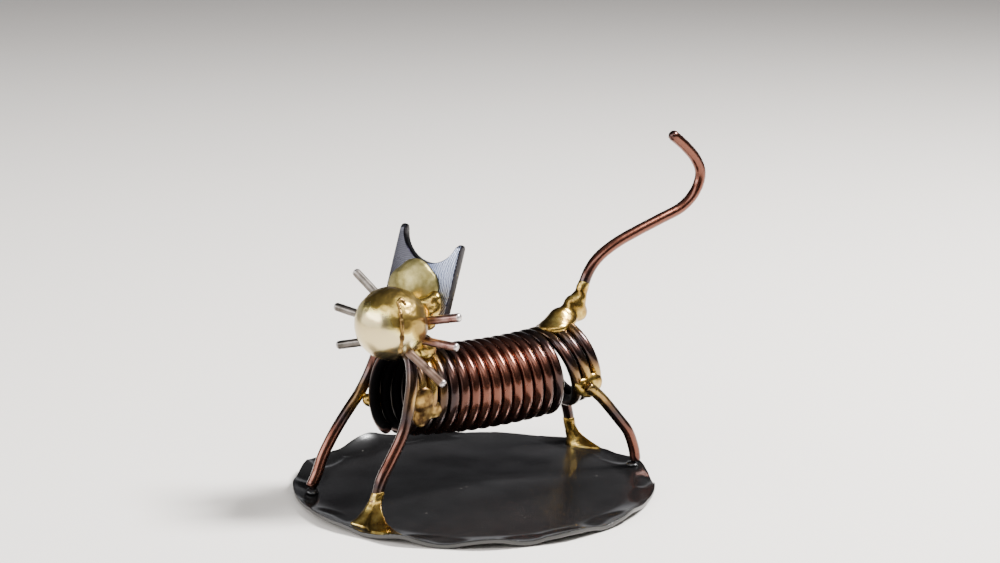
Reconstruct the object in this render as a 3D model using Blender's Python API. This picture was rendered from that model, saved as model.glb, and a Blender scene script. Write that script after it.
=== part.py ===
"""A cat figurine of wound and bent wire, brazed together on a hammered steel disc.

The cat looks along -Y and its left side is +X. The origin is the centre of the disc's flat
underside, on the surface that the figurine stands on. Lengths are in metres.
"""

import math

import bmesh
import bpy
from mathutils import Matrix, Vector

MM = 0.001

# Neighbouring solids keep this gap where the real ones touch.
GAP = 0.3 * MM

# The disc: a flat sheet whose rim was beaten up in shallow scallops.
DISC_R = 49.4 * MM
DISC_T = 1.2 * MM
RIM_LIFT = 1.5 * MM
RIM_WIDTH = 9.0 * MM
RIM_RINGS = (0.21, 0.32, 0.47)  # shares of the rim's width, from its edge inwards
RIM_FLAT_SIDE = math.radians(135)  # where the rim was left nearly flat
RIM_FLAT_FALL = 8  # how sharply the flat stretch ends, as a power of the cosine
RIM_HUMPS = (  # stretches that were beaten up higher: where, half-width and height
    (math.radians(188), math.radians(16), 1.8 * MM),
    (math.radians(226), math.radians(7), 2.0 * MM),
)
SCALLOPS = 13
SCALLOP_LIFT = 0.8 * MM
SCALLOP_DEPTH = 0.7 * MM

# The wire that makes the body, the legs and the tail.
WIRE = 3.1 * MM
WIRE_SIDES = 8
ROUTE_STEP = 4.0 * MM
CAT_X = -3.7 * MM

# The body: tight turns on an axis that sags, then turns that lean back and fan out a little.
COIL_R = 10.75 * MM
COIL_CLEARANCE = 0.06 * MM
COIL_FRONT_Y = -23.2 * MM
COIL_FRONT_Z = 30.6 * MM
COIL_FRONT_SLOPE = math.radians(-9.3)
COIL_BEND_RADIUS = 190.0 * MM
TIGHT_TURNS = 14.5
REAR_TURNS = 2.5
REAR_LEAN = math.radians(11.5)
REAR_TOP_CLEARANCE = 0.4 * MM
STEPS_PER_TURN = 16

# The head: a ball over the body's front, turned towards the cat's left and tilted.
BALL_R = 9.6 * MM
BALL_OUT = 6.35 * MM
BALL_AHEAD = 3.8 * MM
BALL_SINK = 2.05 * MM  # how far its lowest point is below the top of the body's front
HEAD_YAW = math.radians(30)
HEAD_PITCH = math.radians(10)
HEAD_ROLL = math.radians(10)

# The ear plate: a strip with a half-round notch that leaves two ears.
PLATE_WIDTH = 18.9 * MM
PLATE_T = 3.2 * MM
LEFT_EAR_TOP = 23.3 * MM
RIGHT_EAR_TOP = 24.5 * MM
PLATE_BOTTOM = 3.4 * MM
PLATE_SHIFT = -0.4 * MM
PLATE_SETBACK = 1.2 * MM
NOTCH_R = 8.2 * MM
NOTCH_BOTTOM = 16.3 * MM
NOTCH_START = math.radians(14)  # where its arc starts, below its level line
NOTCH_STEPS = 12
TIP_STEPS = 4

# The whiskers: short rods on the ball, each given by its angle from the head's own right
# in degrees, its reach, and how far below and behind the ball's centre its line passes.
WHISKER = 2.3 * MM
WHISKERS = {
    "whisker_left_upper": (22, 18.2 * MM, 0.4 * MM, 4.7 * MM),
    "whisker_left_middle": (6, 18.3 * MM, 3.3 * MM, 4.7 * MM),
    "whisker_left_lower": (-23, 21.4 * MM, 2.3 * MM, -1.0 * MM),
    "whisker_right_upper": (153, 18.8 * MM, -0.9 * MM, 4.7 * MM),
    "whisker_right_middle": (180, 20.2 * MM, 1.3 * MM, 4.7 * MM),
    "whisker_right_lower": (203, 18.3 * MM, 4.0 * MM, 4.7 * MM),
}

# Where the feet stand, in millimetres, as (out from a wire that lies along the body, y).
FRONT_LEFT_FOOT = (1.2, -39.6)
FRONT_RIGHT_FOOT = (-0.8, -41.3)
REAR_LEFT_FOOT = (1.2, 45.8)
REAR_RIGHT_FOOT = (-1.2, 44.5)

# The routes of the legs in millimetres, as (out from a wire that lies along the body, y, z).
FRONT_LEFT_ROUTE = [
    (1.0, -37.2, 6.8), (0.8, -35.3, 11.8), (0.5, -32.2, 16.6), (0.3, -29.2, 21.4),
    (0.1, -27.4, 25.6), (-0.1, -26.4, 30.0), (-0.9, -25.0, 35.4), (-2.9, -24.0, 40.4),
    (-5.6, -24.2, 44.6),
]
FRONT_RIGHT_ROUTE = [
    (-0.6, -39.3, 6.0), (-0.2, -36.9, 11.2), (0.0, -32.9, 17.4), (0.2, -28.7, 22.6),
    (0.4, -25.2, 26.6), (0.4, -22.2, 31.5), (-0.2, -20.3, 36.4), (-3.0, -20.4, 40.8),
    (-7.8, -22.2, 44.3), (-13.7, -24.6, 46.6),
]
REAR_LEFT_ROUTE = [
    (0.9, 45.3, 7.0), (0.7, 43.4, 12.0), (0.3, 40.5, 15.9), (0.0, 35.9, 21.5),
    (0.0, 32.8, 24.6), (0.0, 29.9, 26.8),
]
REAR_RIGHT_ROUTE = [
    (-1.0, 43.3, 6.7), (-0.8, 42.3, 11.9), (-0.7, 40.6, 16.6), (-0.3, 38.2, 20.6),
    (-0.1, 34.2, 24.2), (0.0, 30.4, 26.6),
]
# The tail's route in millimetres, as (out, back, up) from the top of the body's last turn.
TAIL_ROUTE = [
    (0, 3.2, 3.4), (0, 4.7, 7.0), (0, 7.3, 12.9), (0, 10.8, 16.8), (0, 16.6, 20.1),
    (0, 23.9, 22.8), (0, 31.9, 25.4), (0, 39.5, 28.0), (0, 44.3, 32.0), (0, 46.2, 37.0),
    (0, 44.5, 41.4), (0, 40.5, 45.6), (0, 35.2, 49.8),
]
TAIL_JOINT_POINTS = 6  # how many of the tail's points its braze is cut to

# Lumps of braze on the body: the count of turns along it, the degrees round it from its top
# towards the left, the height above the wire's middle, the three radii, and the lean about X.
# Lengths are in millimetres.
BRAZE_LUMPS = {
    "tail_braze": (16.2, 0, 0.1, (5.8, 7.2, 4.6), 8),
    "left_shoulder_braze": (0.75, 86, 2.3, (3.0, 4.6, 4.4), 0),
    "right_shoulder_braze": (0.4, -115, 3.8, (2.6, 4.0, 3.4), 0),
    "left_haunch_braze": (15.8, 111, 3.2, (4.2, 6.6, 4.4), -38),
    "right_haunch_braze": (16.3, -119, 3.6, (4.2, 6.6, 4.6), -38),
}
TAIL_COLLAR = (2.5 * MM, 5.0 * MM)  # the collar's radius and reach along the tail

# The neck's lump: which way it lies from the ball's centre, how far its centre is from the
# ball's surface, and its radii.
NECK_WAY = (-0.12, 0.76, -0.64)
NECK_OUT = 3.0 * MM
NECK_RADII = (6.2, 4.8, 4.6)

# Lumps of braze between the ball and the ears, as (right, up, in front of the plate).
HEAD_LUMPS = [
    ((-1.8, 9.6, 1.0), (6.0, 6.8, 4.3)),
    ((5.4, 6.4, 1.2), (4.4, 5.4, 4.3)),
]

# Metal round the feet in millimetres: the centre from the end of the wire, and the radii.
FOOT_FILLETS = {
    "front_left_foot_braze": ("front_left_leg", (3.4, -0.6, -1.6), (8.4, 4.8, 7.0)),
    "rear_right_foot_braze": ("rear_right_leg", (3.6, 0.1, -1.6), (5.4, 3.0, 5.6)),
    "front_right_foot_weld": ("front_right_leg", (0.4, 0.8, -0.8), (2.6, 2.4, 2.6)),
    "rear_left_foot_weld": ("rear_left_leg", (-0.2, -0.9, -0.4), (2.4, 2.2, 2.4)),
}

# The bead of braze that runs down the ball, given by where it lies on the ball.
BEAD_R = 0.5 * MM
BEAD_YAW = math.radians(77)
BEAD_LIFTS = range(-38, 47, 12)

COLLECTION = "cat_figurine"
CUTTERS = "cutters"

WIRE_R = WIRE / 2
COIL_PITCH = (WIRE + COIL_CLEARANCE) / (1 - COIL_R / COIL_BEND_RADIUS)
REAR_FAN = (REAR_TOP_CLEARANCE - COIL_CLEARANCE) / (2 * COIL_R)
LEG_LINE = COIL_R + WIRE + GAP
BALL = Vector((CAT_X + BALL_OUT, COIL_FRONT_Y - BALL_AHEAD,
               COIL_FRONT_Z + COIL_R + WIRE_R - BALL_SINK + BALL_R))


def clear_scene():
    """Remove what the file opened with and make the two collections."""
    for old in list(bpy.data.objects):
        bpy.data.objects.remove(old, do_unlink=True)
    for name in (COLLECTION, CUTTERS):
        group = bpy.data.collections.new(name)
        bpy.context.scene.collection.children.link(group)


def metal(name, colour, roughness, metallic=1.0):
    """A plain Principled material in the piece's colour."""
    made = bpy.data.materials.new(name)
    made.use_nodes = True
    shader = made.node_tree.nodes["Principled BSDF"]
    shader.inputs["Base Color"].default_value = (*colour, 1)
    shader.inputs["Roughness"].default_value = roughness
    shader.inputs["Metallic"].default_value = metallic
    made.diffuse_color = (*colour, 1)
    return made


def add_object(name, mesh, group=COLLECTION, material=None):
    """Put a mesh in the scene as a part, or as a hidden cutter."""
    piece = bpy.data.objects.new(name, mesh)
    bpy.data.collections[group].objects.link(piece)
    if material:
        mesh.materials.append(material)
    if group == CUTTERS:
        piece.hide_render = True
        piece.display_type = "WIRE"
    else:
        mesh.shade_smooth()
        mesh.set_sharp_from_angle(angle=math.radians(40))
    return piece


def mesh_from(builder, name):
    """Turn a bmesh into mesh data and free it."""
    mesh = bpy.data.meshes.new(name)
    builder.to_mesh(mesh)
    builder.free()
    return mesh


def smooth_route(points):
    """Points every few millimetres on a Catmull-Rom curve through the given ones."""
    ends = [2 * points[0] - points[1], *points, 2 * points[-1] - points[-2]]
    route = [points[0]]
    for before, start, end, after in zip(ends, ends[1:], ends[2:], ends[3:]):
        pieces = max(1, round((end - start).length / ROUTE_STEP))
        for k in range(1, pieces + 1):
            t = k / pieces
            route.append(0.5 * (
                2 * start + (end - before) * t
                + (2 * before - 5 * start + 4 * end - after) * t ** 2
                + (3 * start - before - 3 * end + after) * t ** 3))
    return route


def rod(name, route, radius, group=COLLECTION, material=None, round_end=False):
    """A wire along a route as a closed mesh, made from a bevelled curve."""
    points = [(point, 1.0) for point in route]
    if round_end:
        along = (route[-1] - route[-2]).normalized()
        tip = points.pop()[0]
        for share in (0.0, 0.7):
            back = radius * (1 - share)
            width = math.sqrt(1 - share ** 2)
            points.append((tip - along * back, width))
    curve = bpy.data.curves.new(name, "CURVE")
    curve.dimensions = "3D"
    curve.bevel_depth = radius
    curve.bevel_resolution = WIRE_SIDES // 2 - 2
    curve.use_fill_caps = True
    line = curve.splines.new("POLY")
    line.points.add(len(points) - 1)
    for target, (place, width) in zip(line.points, points):
        target.co = (*place, 1)
        target.radius = width
    guide = bpy.data.objects.new(name, curve)
    bpy.data.collections[group].objects.link(guide)
    bpy.context.view_layer.update()
    seen = guide.evaluated_get(bpy.context.evaluated_depsgraph_get())
    mesh = bpy.data.meshes.new_from_object(seen)
    bpy.data.objects.remove(guide)
    bpy.data.curves.remove(curve)
    welded = bmesh.new()
    welded.from_mesh(mesh)
    bmesh.ops.remove_doubles(welded, verts=welded.verts, dist=0.001 * MM)
    bmesh.ops.recalc_face_normals(welded, faces=welded.faces)
    welded.to_mesh(mesh)
    welded.free()
    mesh.materials.clear()
    return add_object(name, mesh, group, material)


def blob(name, lumps, group=COLLECTION, material=None, segments=12, rings=7):
    """One closed lump of metal from overlapping ellipsoids, as (centre, radii, turn)."""
    pieces = []
    for k, (centre, radii, turn) in enumerate(lumps):
        builder = bmesh.new()
        bmesh.ops.create_uvsphere(builder, u_segments=segments, v_segments=rings, radius=1)
        place = Matrix.Translation(centre) @ turn.to_4x4() @ Matrix.Diagonal((*radii, 1))
        builder.transform(place)
        home = group if k == 0 else CUTTERS
        pieces.append(add_object(name if k == 0 else f"{name}_lump_{k}",
                                 mesh_from(builder, name), home,
                                 material if k == 0 else None))
    for other in pieces[1:]:
        boolean(pieces[0], other, "UNION")
    return pieces[0]


def boolean(piece, other, operation="DIFFERENCE"):
    """Cut or join another mesh with the exact solver."""
    change = piece.modifiers.new(f"{operation.lower()}_{other.name}", "BOOLEAN")
    change.operation = operation
    change.solver = "EXACT"
    change.object = other


def coil_frame(distance):
    """Centre and slope of the body's sagging axis at a distance along it."""
    slope = COIL_FRONT_SLOPE + distance / COIL_BEND_RADIUS
    y = COIL_FRONT_Y + COIL_BEND_RADIUS * (math.sin(slope) - math.sin(COIL_FRONT_SLOPE))
    z = COIL_FRONT_Z + COIL_BEND_RADIUS * (math.cos(COIL_FRONT_SLOPE) - math.cos(slope))
    return Vector((CAT_X, y, z)), slope


def turn_top(turns):
    """Top of the wire's middle line at a count of turns, and the lean of the turn there."""
    centre, slope = coil_frame(min(turns, TIGHT_TURNS) * COIL_PITCH)
    top = centre + COIL_R * Vector((0, -math.sin(slope), math.cos(slope)))
    past = turns - TIGHT_TURNS
    if past > 0:
        slope += REAR_LEAN - REAR_FAN * past
        course = slope + REAR_FAN * past / 2
        reach = past * (WIRE + REAR_TOP_CLEARANCE)
        top += reach * Vector((0, math.cos(course), math.sin(course)))
    return top, slope


def coil_point(turns):
    """Middle of the wire after a count of turns, from its cut end under the chest."""
    angle = math.tau * (turns + 0.5)
    top, slope = turn_top(turns)
    drop = COIL_R * (1 - math.cos(angle))
    return top + Vector((COIL_R * math.sin(angle), drop * math.sin(slope),
                         -drop * math.cos(slope)))


def coil_centre(turns):
    """Centre of the ring that the wire is on after a count of turns."""
    top, slope = turn_top(turns)
    return top + COIL_R * Vector((0, math.sin(slope), -math.cos(slope)))


def make_coil(material):
    """The body: one long wire, wound clockwise from the front."""
    count = round((TIGHT_TURNS + REAR_TURNS) * STEPS_PER_TURN)
    route = [coil_point(k / STEPS_PER_TURN) for k in range(count + 1)]
    return rod("body_coil", route, WIRE_R, material=material)


def make_coil_envelopes():
    """Cutters of the body's outer shape, one for each group of turns."""
    tight = [coil_centre(k * 0.5) for k in range(int(TIGHT_TURNS * 2) + 1)]
    rear = [coil_centre(TIGHT_TURNS + REAR_TURNS * k / 2 + 0.001) for k in range(3)]
    cutters = []
    for name, line in (("tight_turns_cutter", tight), ("rear_turns_cutter", rear)):
        first = line[0] + (line[0] - line[1]).normalized() * (WIRE_R + GAP)
        last = line[-1] + (line[-1] - line[-2]).normalized() * (WIRE_R + GAP)
        cutters.append(smooth_cutter(name, [first, *line, last], COIL_R + WIRE_R + GAP))
    return cutters


def smooth_cutter(name, route, radius, sides=16):
    """A rod-shaped cutter whose flats clear the given radius."""
    builder = bmesh.new()
    rings = []
    for k, centre in enumerate(route):
        along = (route[min(k + 1, len(route) - 1)] - route[max(k - 1, 0)]).normalized()
        across = Vector((1, 0, 0))
        up = along.cross(across).normalized()
        wide = radius / math.cos(math.pi / sides)
        ring = [builder.verts.new(centre + wide * (math.cos(math.tau * j / sides) * across
                                                   + math.sin(math.tau * j / sides) * up))
                for j in range(sides)]
        rings.append(ring)
    for low, high in zip(rings, rings[1:]):
        edges = []
        for ring in (low, high):
            for a, b in zip(ring, ring[1:] + ring[:1]):
                edges.append(builder.edges.get((a, b)) or builder.edges.new((a, b)))
        bmesh.ops.bridge_loops(builder, edges=edges)
    builder.faces.new(rings[0])
    builder.faces.new(rings[-1])
    bmesh.ops.recalc_face_normals(builder, faces=builder.faces)
    return add_object(name, mesh_from(builder, name), CUTTERS)


def rim_rise(x, y):
    """How far the beaten rim lifts the sheet at a place, and how far it is drawn in there."""
    around = math.atan2(y, x)
    wave = scallop(around)
    beaten = 1 - max(0.0, math.cos(around - RIM_FLAT_SIDE)) ** RIM_FLAT_FALL
    edge = max(0.0, 1 - (DISC_R - math.hypot(x, y)) / RIM_WIDTH)
    lift = beaten * (RIM_LIFT + SCALLOP_LIFT * wave)
    for where, half_width, height in RIM_HUMPS:
        away = math.remainder(around - where, math.tau) / half_width
        lift += height * math.exp(-away ** 2)
    return edge ** 2 * lift, edge * SCALLOP_DEPTH * (1 - wave) / 2


def make_disc(name, material=None, grow=0.0, deeper=0.0, group=COLLECTION):
    """The base: a beaten disc, flat beneath, with its rim raised in scallops.

    A cutter is grown by the gap, and reaches deeper and past the rim by the same length, to
    take all that is under the sheet or hangs over its edge."""
    around = SCALLOPS * 5
    builder = bmesh.new()
    bmesh.ops.create_cone(builder, cap_ends=True, segments=around, radius1=DISC_R + grow,
                          radius2=DISC_R + grow, depth=DISC_T + 2 * grow)
    bmesh.ops.translate(builder, verts=builder.verts, vec=(0, 0, DISC_T / 2))
    for share in RIM_RINGS:
        caps = [face for face in builder.faces if len(face.verts) == around]
        bmesh.ops.inset_region(builder, faces=caps, thickness=RIM_WIDTH * share,
                               use_even_offset=False)
    for vert in builder.verts:
        rise, drawn_in = rim_rise(vert.co.x, vert.co.y)
        if vert.co.xy.length > DISC_R + grow / 2:
            drawn_in -= deeper
        shrink = 1 - drawn_in / DISC_R
        under = deeper if vert.co.z < DISC_T / 2 else 0
        vert.co = Vector((vert.co.x * shrink, vert.co.y * shrink, vert.co.z + rise - under))
    bmesh.ops.recalc_face_normals(builder, faces=builder.faces)
    return add_object(name, mesh_from(builder, name), group, material)


def scallop(angle):
    """Height of the beaten rim from -1 to 1, uneven as hammer blows leave it."""
    main = math.cos(SCALLOPS * angle + 0.9 * math.sin(2 * angle) + 0.6)
    slow = math.sin(3 * angle + 0.8)
    return 0.72 * main + 0.28 * slow


def head_axes():
    """The head's forward, right-hand and up directions, seen from its front."""
    forward = Vector((math.sin(HEAD_YAW) * math.cos(HEAD_PITCH),
                      -math.cos(HEAD_YAW) * math.cos(HEAD_PITCH), math.sin(HEAD_PITCH)))
    level = Vector((math.cos(HEAD_YAW), math.sin(HEAD_YAW), 0))
    upright = forward.cross(level)
    if upright.z < 0:
        upright.negate()
    right = level * math.cos(HEAD_ROLL) - upright * math.sin(HEAD_ROLL)
    up = level * math.sin(HEAD_ROLL) + upright * math.cos(HEAD_ROLL)
    return forward, right, up


def head_place(right_by, up_by, forward_by):
    """A place given in the head's own directions from the ball's centre."""
    forward, right, up = head_axes()
    return BALL + right * right_by + up * up_by + forward * forward_by


def make_ball(material):
    """The head ball."""
    builder = bmesh.new()
    bmesh.ops.create_uvsphere(builder, u_segments=20, v_segments=11, radius=BALL_R)
    builder.transform(Matrix.Translation(BALL))
    return add_object("head_ball", mesh_from(builder, "head_ball"), material=material)


def plate_outline(grow=0.0):
    """The ear plate's outline, anticlockwise, made wider by a margin for a cutter."""
    half = PLATE_WIDTH / 2
    notch = NOTCH_R - grow
    tip = (half - NOTCH_R) / 2
    outline = [(-half - grow, PLATE_BOTTOM - grow), (half + grow, PLATE_BOTTOM - grow)]
    for side, top in ((1, LEFT_EAR_TOP), (-1, RIGHT_EAR_TOP)):
        for k in range(TIP_STEPS + 1):
            angle = math.pi * k / TIP_STEPS
            outline.append((side * (half - tip) + (tip + grow) * math.cos(angle),
                            top - tip + (tip + grow) * math.sin(angle)))
        if side == 1:
            for k in range(NOTCH_STEPS + 1):
                angle = NOTCH_START + (math.pi - 2 * NOTCH_START) * k / NOTCH_STEPS
                outline.append((notch * math.cos(angle),
                                NOTCH_BOTTOM + NOTCH_R - notch * math.sin(angle)))
    return outline


def make_plate(name, material=None, grow=0.0, group=COLLECTION):
    """The flat ear plate behind the ball, from a filled outline with a thickness."""
    forward, right, up = head_axes()
    curve = bpy.data.curves.new(name, "CURVE")
    curve.dimensions = "2D"
    curve.fill_mode = "BOTH"
    curve.extrude = PLATE_T / 2 + grow
    line = curve.splines.new("POLY")
    outline = plate_outline(grow)
    line.points.add(len(outline) - 1)
    for target, (x, y) in zip(line.points, outline):
        target.co = (x, y, 0, 1)
    line.use_cyclic_u = True
    guide = bpy.data.objects.new(name, curve)
    bpy.data.collections[group].objects.link(guide)
    setback = BALL_R + PLATE_SETBACK + PLATE_T / 2
    turn = Matrix((right, up, forward)).transposed()
    centre = head_place(PLATE_SHIFT, 0, -setback)
    bpy.context.view_layer.update()
    seen = guide.evaluated_get(bpy.context.evaluated_depsgraph_get())
    mesh = bpy.data.meshes.new_from_object(seen)
    bpy.data.objects.remove(guide)
    bpy.data.curves.remove(curve)
    mesh.transform(Matrix.Translation(centre) @ turn.to_4x4())
    welded = bmesh.new()
    welded.from_mesh(mesh)
    bmesh.ops.remove_doubles(welded, verts=welded.verts, dist=0.001 * MM)
    bmesh.ops.recalc_face_normals(welded, faces=welded.faces)
    welded.to_mesh(mesh)
    welded.free()
    mesh.materials.clear()
    return add_object(name, mesh, group, material)


def make_ball_cutter():
    """A cutter that leaves the gap round the head ball."""
    return blob("ball_cutter", [(BALL, Vector((1, 1, 1)) * (BALL_R + GAP),
                                 Matrix.Identity(3))], CUTTERS, segments=20, rings=11)


def whisker_point(name, far):
    """A point on a whisker's middle line, at a distance from the head's upright axis."""
    degrees, _, below, behind = WHISKERS[name]
    angle = math.radians(degrees)
    return head_place(math.cos(angle) * far, math.sin(angle) * far - below, -behind)


def make_whiskers(material, ball_cutter):
    """Six short rods that stand out from the ball, coped to it, and their cutters."""
    cutters = []
    start, past_tip = BALL_R * 0.6, BALL_R * 3
    for name, (_, reach, _, _) in WHISKERS.items():
        route = [whisker_point(name, far) for far in (start, (start + reach) / 2, reach)]
        whisker = rod(name, route, WHISKER / 2, material=material, round_end=True)
        boolean(whisker, ball_cutter)
        line = [whisker_point(name, start), whisker_point(name, past_tip)]
        wide = (WHISKER / 2 + GAP) / math.cos(math.pi / WIRE_SIDES)
        cutters.append(rod(f"{name}_cutter", line, wide, CUTTERS))
    return cutters


def beside_body(side, out, y, z=0):
    """A place in millimetres, out from where a wire would lie along one side of the body."""
    return Vector((CAT_X + side * (LEG_LINE + out * MM), y * MM, z * MM))


def foot_on_disc(side, foot, next_point):
    """Where a leg's wire ends, so that the low corner of its cut end clears the disc."""
    end = beside_body(side, *foot)
    way = (next_point - end).normalized()
    rise = max(rim_rise(end.x + WIRE_R * math.cos(turn), end.y + WIRE_R * math.sin(turn))[0]
               for turn in (math.tau * k / 8 for k in range(8)))
    end.z = DISC_T + rise + GAP + WIRE_R * math.hypot(way.x, way.y)
    return end


def make_leg(name, side, foot, points, material, ball_cutter=None):
    """A leg from its foot on the disc up to its joint with the body."""
    route = [beside_body(side, *point) for point in points]
    route.insert(0, foot_on_disc(side, foot, route[0]))
    leg = rod(name, smooth_route(route), WIRE_R, material=material)
    if ball_cutter:
        boolean(leg, ball_cutter)
    return route


def wire_cutter(name, route):
    """A cutter that leaves the gap round a wire."""
    longer = [route[0] + (route[0] - route[1]).normalized() * GAP, *route[1:-1],
              route[-1] + (route[-1] - route[-2]).normalized() * GAP]
    grown = (WIRE_R + GAP) / math.cos(math.pi / WIRE_SIDES)
    return rod(name, smooth_route(longer), grown, CUTTERS)


def turned_to(direction):
    """A turn that takes +Z to a direction."""
    return direction.to_track_quat("Z", "Y").to_matrix()


def sizes(x, y, z):
    """Three lengths given in millimetres."""
    return Vector((x, y, z)) * MM


def braze(name, lumps, cutters, material):
    """A fillet of braze metal, cut back from everything that it joins."""
    fillet = blob(name, lumps, material=material)
    for cutter in cutters:
        boolean(fillet, cutter)
    return fillet


def body_lump(name):
    """One of the lumps that are listed at the top of the file."""
    turns, degrees, above, radii, lean = BRAZE_LUMPS[name]
    slope = turn_top(turns)[1]
    angle = math.radians(degrees)
    outward = Vector((math.sin(angle), -math.cos(angle) * math.sin(slope),
                      math.cos(angle) * math.cos(slope)))
    centre = coil_centre(turns) + outward * (COIL_R + above * MM)
    return centre, sizes(*radii), Matrix.Rotation(math.radians(lean), 3, "X")


def make_body_brazes(material, envelopes, leg_cutters, tail_points, tail_cutter):
    """The fillets that hold the legs and the tail to the wound body."""
    for side in ("left", "right"):
        for name, leg in ((f"{side}_shoulder_braze", f"front_{side}_leg"),
                          (f"{side}_haunch_braze", f"rear_{side}_leg")):
            braze(name, [body_lump(name)], [*envelopes, leg_cutters[leg]], material)
    way = (tail_points[1] - tail_points[0]).normalized()
    radius, reach = TAIL_COLLAR
    collar = (tail_points[0], Vector((radius, radius, reach)), turned_to(way))
    braze("tail_braze", [body_lump("tail_braze"), collar], [*envelopes, tail_cutter], material)


def make_head_brazes(material, near_head, near_neck):
    """The braze between the ball and the ear plate, and the neck under them."""
    forward, right, up = head_axes()
    turn = Matrix((right, up, forward)).transposed()
    plate_front = -BALL_R - PLATE_SETBACK
    lumps = [(head_place(across * MM, high * MM, plate_front + ahead * MM), sizes(*radii), turn)
             for (across, high, ahead), radii in HEAD_LUMPS]
    braze("head_braze", lumps, near_head, material)
    neck = BALL + Vector(NECK_WAY).normalized() * (BALL_R + NECK_OUT)
    braze("neck_braze", [(neck, sizes(*NECK_RADII), Matrix.Identity(3))], near_neck, material)


def make_face_bead(material):
    """The thin bead of braze that stands for the cat's muzzle."""
    outward = Vector((math.sin(BEAD_YAW), -math.cos(BEAD_YAW), 0))
    far = BALL_R + GAP + BEAD_R
    route = [BALL + far * (outward * math.cos(math.radians(lift))
                           + Vector((0, 0, math.sin(math.radians(lift)))))
             for lift in BEAD_LIFTS]
    return rod("face_bead", route, BEAD_R, material=material)


def make_foot_fillets(brass, black, leg_cutters, feet, disc_cutter):
    """Mounds of metal round the feet, cut clear of the disc and the wires."""
    for name, (leg, offset, radii) in FOOT_FILLETS.items():
        lump = (feet[leg] + sizes(*offset), sizes(*radii), Matrix.Identity(3))
        braze(name, [lump], [leg_cutters[leg], disc_cutter],
              brass if name.endswith("braze") else black)


def main():
    """Build the figurine."""
    clear_scene()
    copper = metal("copper plated wire", (0.10, 0.032, 0.022), 0.25)
    brass = metal("brass braze", (0.48, 0.33, 0.09), 0.3)
    pale_brass = metal("brassed ball", (0.5, 0.42, 0.26), 0.3)
    steel = metal("blued steel strip", (0.12, 0.15, 0.26), 0.35)
    black = metal("blackened steel sheet", (0.02, 0.02, 0.022), 0.35, 0.6)
    grey = metal("steel rod", (0.3, 0.26, 0.25), 0.3)

    make_disc("base_disc", black)
    make_coil(copper)
    make_ball(pale_brass)
    make_plate("ear_plate", steel)

    ball_cutter = make_ball_cutter()
    plate_cutter = make_plate("plate_cutter", grow=GAP, group=CUTTERS)
    disc_cutter = make_disc("disc_cutter", grow=GAP, deeper=DISC_R / 4, group=CUTTERS)
    envelopes = make_coil_envelopes()
    whisker_cutters = make_whiskers(grey, ball_cutter)

    legs = {
        "front_left_leg": (1, FRONT_LEFT_FOOT, FRONT_LEFT_ROUTE, ball_cutter),
        "front_right_leg": (-1, FRONT_RIGHT_FOOT, FRONT_RIGHT_ROUTE, ball_cutter),
        "rear_left_leg": (1, REAR_LEFT_FOOT, REAR_LEFT_ROUTE, None),
        "rear_right_leg": (-1, REAR_RIGHT_FOOT, REAR_RIGHT_ROUTE, None),
    }
    leg_cutters, feet = {}, {}
    for name, (side, foot, points, coping) in legs.items():
        route = make_leg(name, side, foot, points, copper, coping)
        leg_cutters[name] = wire_cutter(f"{name}_cutter", route)
        feet[name] = route[0]

    last_top = turn_top(TIGHT_TURNS + REAR_TURNS)[0]
    tail_points = [last_top + sizes(*point) for point in TAIL_ROUTE]
    rod("tail", smooth_route(tail_points), WIRE_R, material=copper, round_end=True)
    tail_cutter = wire_cutter("tail_cutter", tail_points[:TAIL_JOINT_POINTS])

    make_body_brazes(brass, envelopes, leg_cutters, tail_points, tail_cutter)
    near_head = [ball_cutter, plate_cutter, *whisker_cutters]
    make_head_brazes(brass, near_head, [*envelopes, *near_head, leg_cutters["front_left_leg"],
                                        leg_cutters["front_right_leg"]])
    make_face_bead(brass)
    make_foot_fillets(brass, black, leg_cutters, feet, disc_cutter)


main()
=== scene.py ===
# %% [markdown]
# # A cat of wound wire
#
# The figurine is made of thick copper-plated wire: one length is wound on a mandrel into the
# body, five bent lengths are the legs and the tail. A steel ball is the head, a piece of strip
# with a round notch is the pair of ears, and six short rods are the whiskers. Everything is
# brazed together, and the feet are brazed to a hammered steel disc. This lesson dresses the
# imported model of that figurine, piece by piece, from the wire to the studio light.

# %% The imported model
import math
import random

import bpy
from mathutils import Matrix, Quaternion, Vector, noise
from mathutils.bvhtree import BVHTree


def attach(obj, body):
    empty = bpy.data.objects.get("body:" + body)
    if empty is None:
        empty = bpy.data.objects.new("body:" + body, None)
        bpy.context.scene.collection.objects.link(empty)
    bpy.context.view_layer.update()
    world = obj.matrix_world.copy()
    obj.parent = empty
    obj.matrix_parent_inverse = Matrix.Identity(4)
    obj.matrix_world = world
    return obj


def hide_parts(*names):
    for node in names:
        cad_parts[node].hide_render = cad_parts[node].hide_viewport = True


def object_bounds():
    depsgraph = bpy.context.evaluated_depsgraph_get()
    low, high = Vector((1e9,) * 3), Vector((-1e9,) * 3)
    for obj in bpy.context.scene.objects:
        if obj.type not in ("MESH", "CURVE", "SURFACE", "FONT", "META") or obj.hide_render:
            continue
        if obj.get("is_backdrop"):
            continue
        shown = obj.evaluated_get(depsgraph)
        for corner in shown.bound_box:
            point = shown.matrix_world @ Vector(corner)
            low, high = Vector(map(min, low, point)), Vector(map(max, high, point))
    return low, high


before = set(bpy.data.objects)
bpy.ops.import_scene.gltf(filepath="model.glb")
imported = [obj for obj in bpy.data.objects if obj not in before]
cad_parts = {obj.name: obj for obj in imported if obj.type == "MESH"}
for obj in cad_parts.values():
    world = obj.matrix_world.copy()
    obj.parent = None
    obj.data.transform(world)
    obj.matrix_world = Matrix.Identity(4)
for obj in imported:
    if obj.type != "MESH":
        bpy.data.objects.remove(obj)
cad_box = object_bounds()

MM = 0.001
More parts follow.
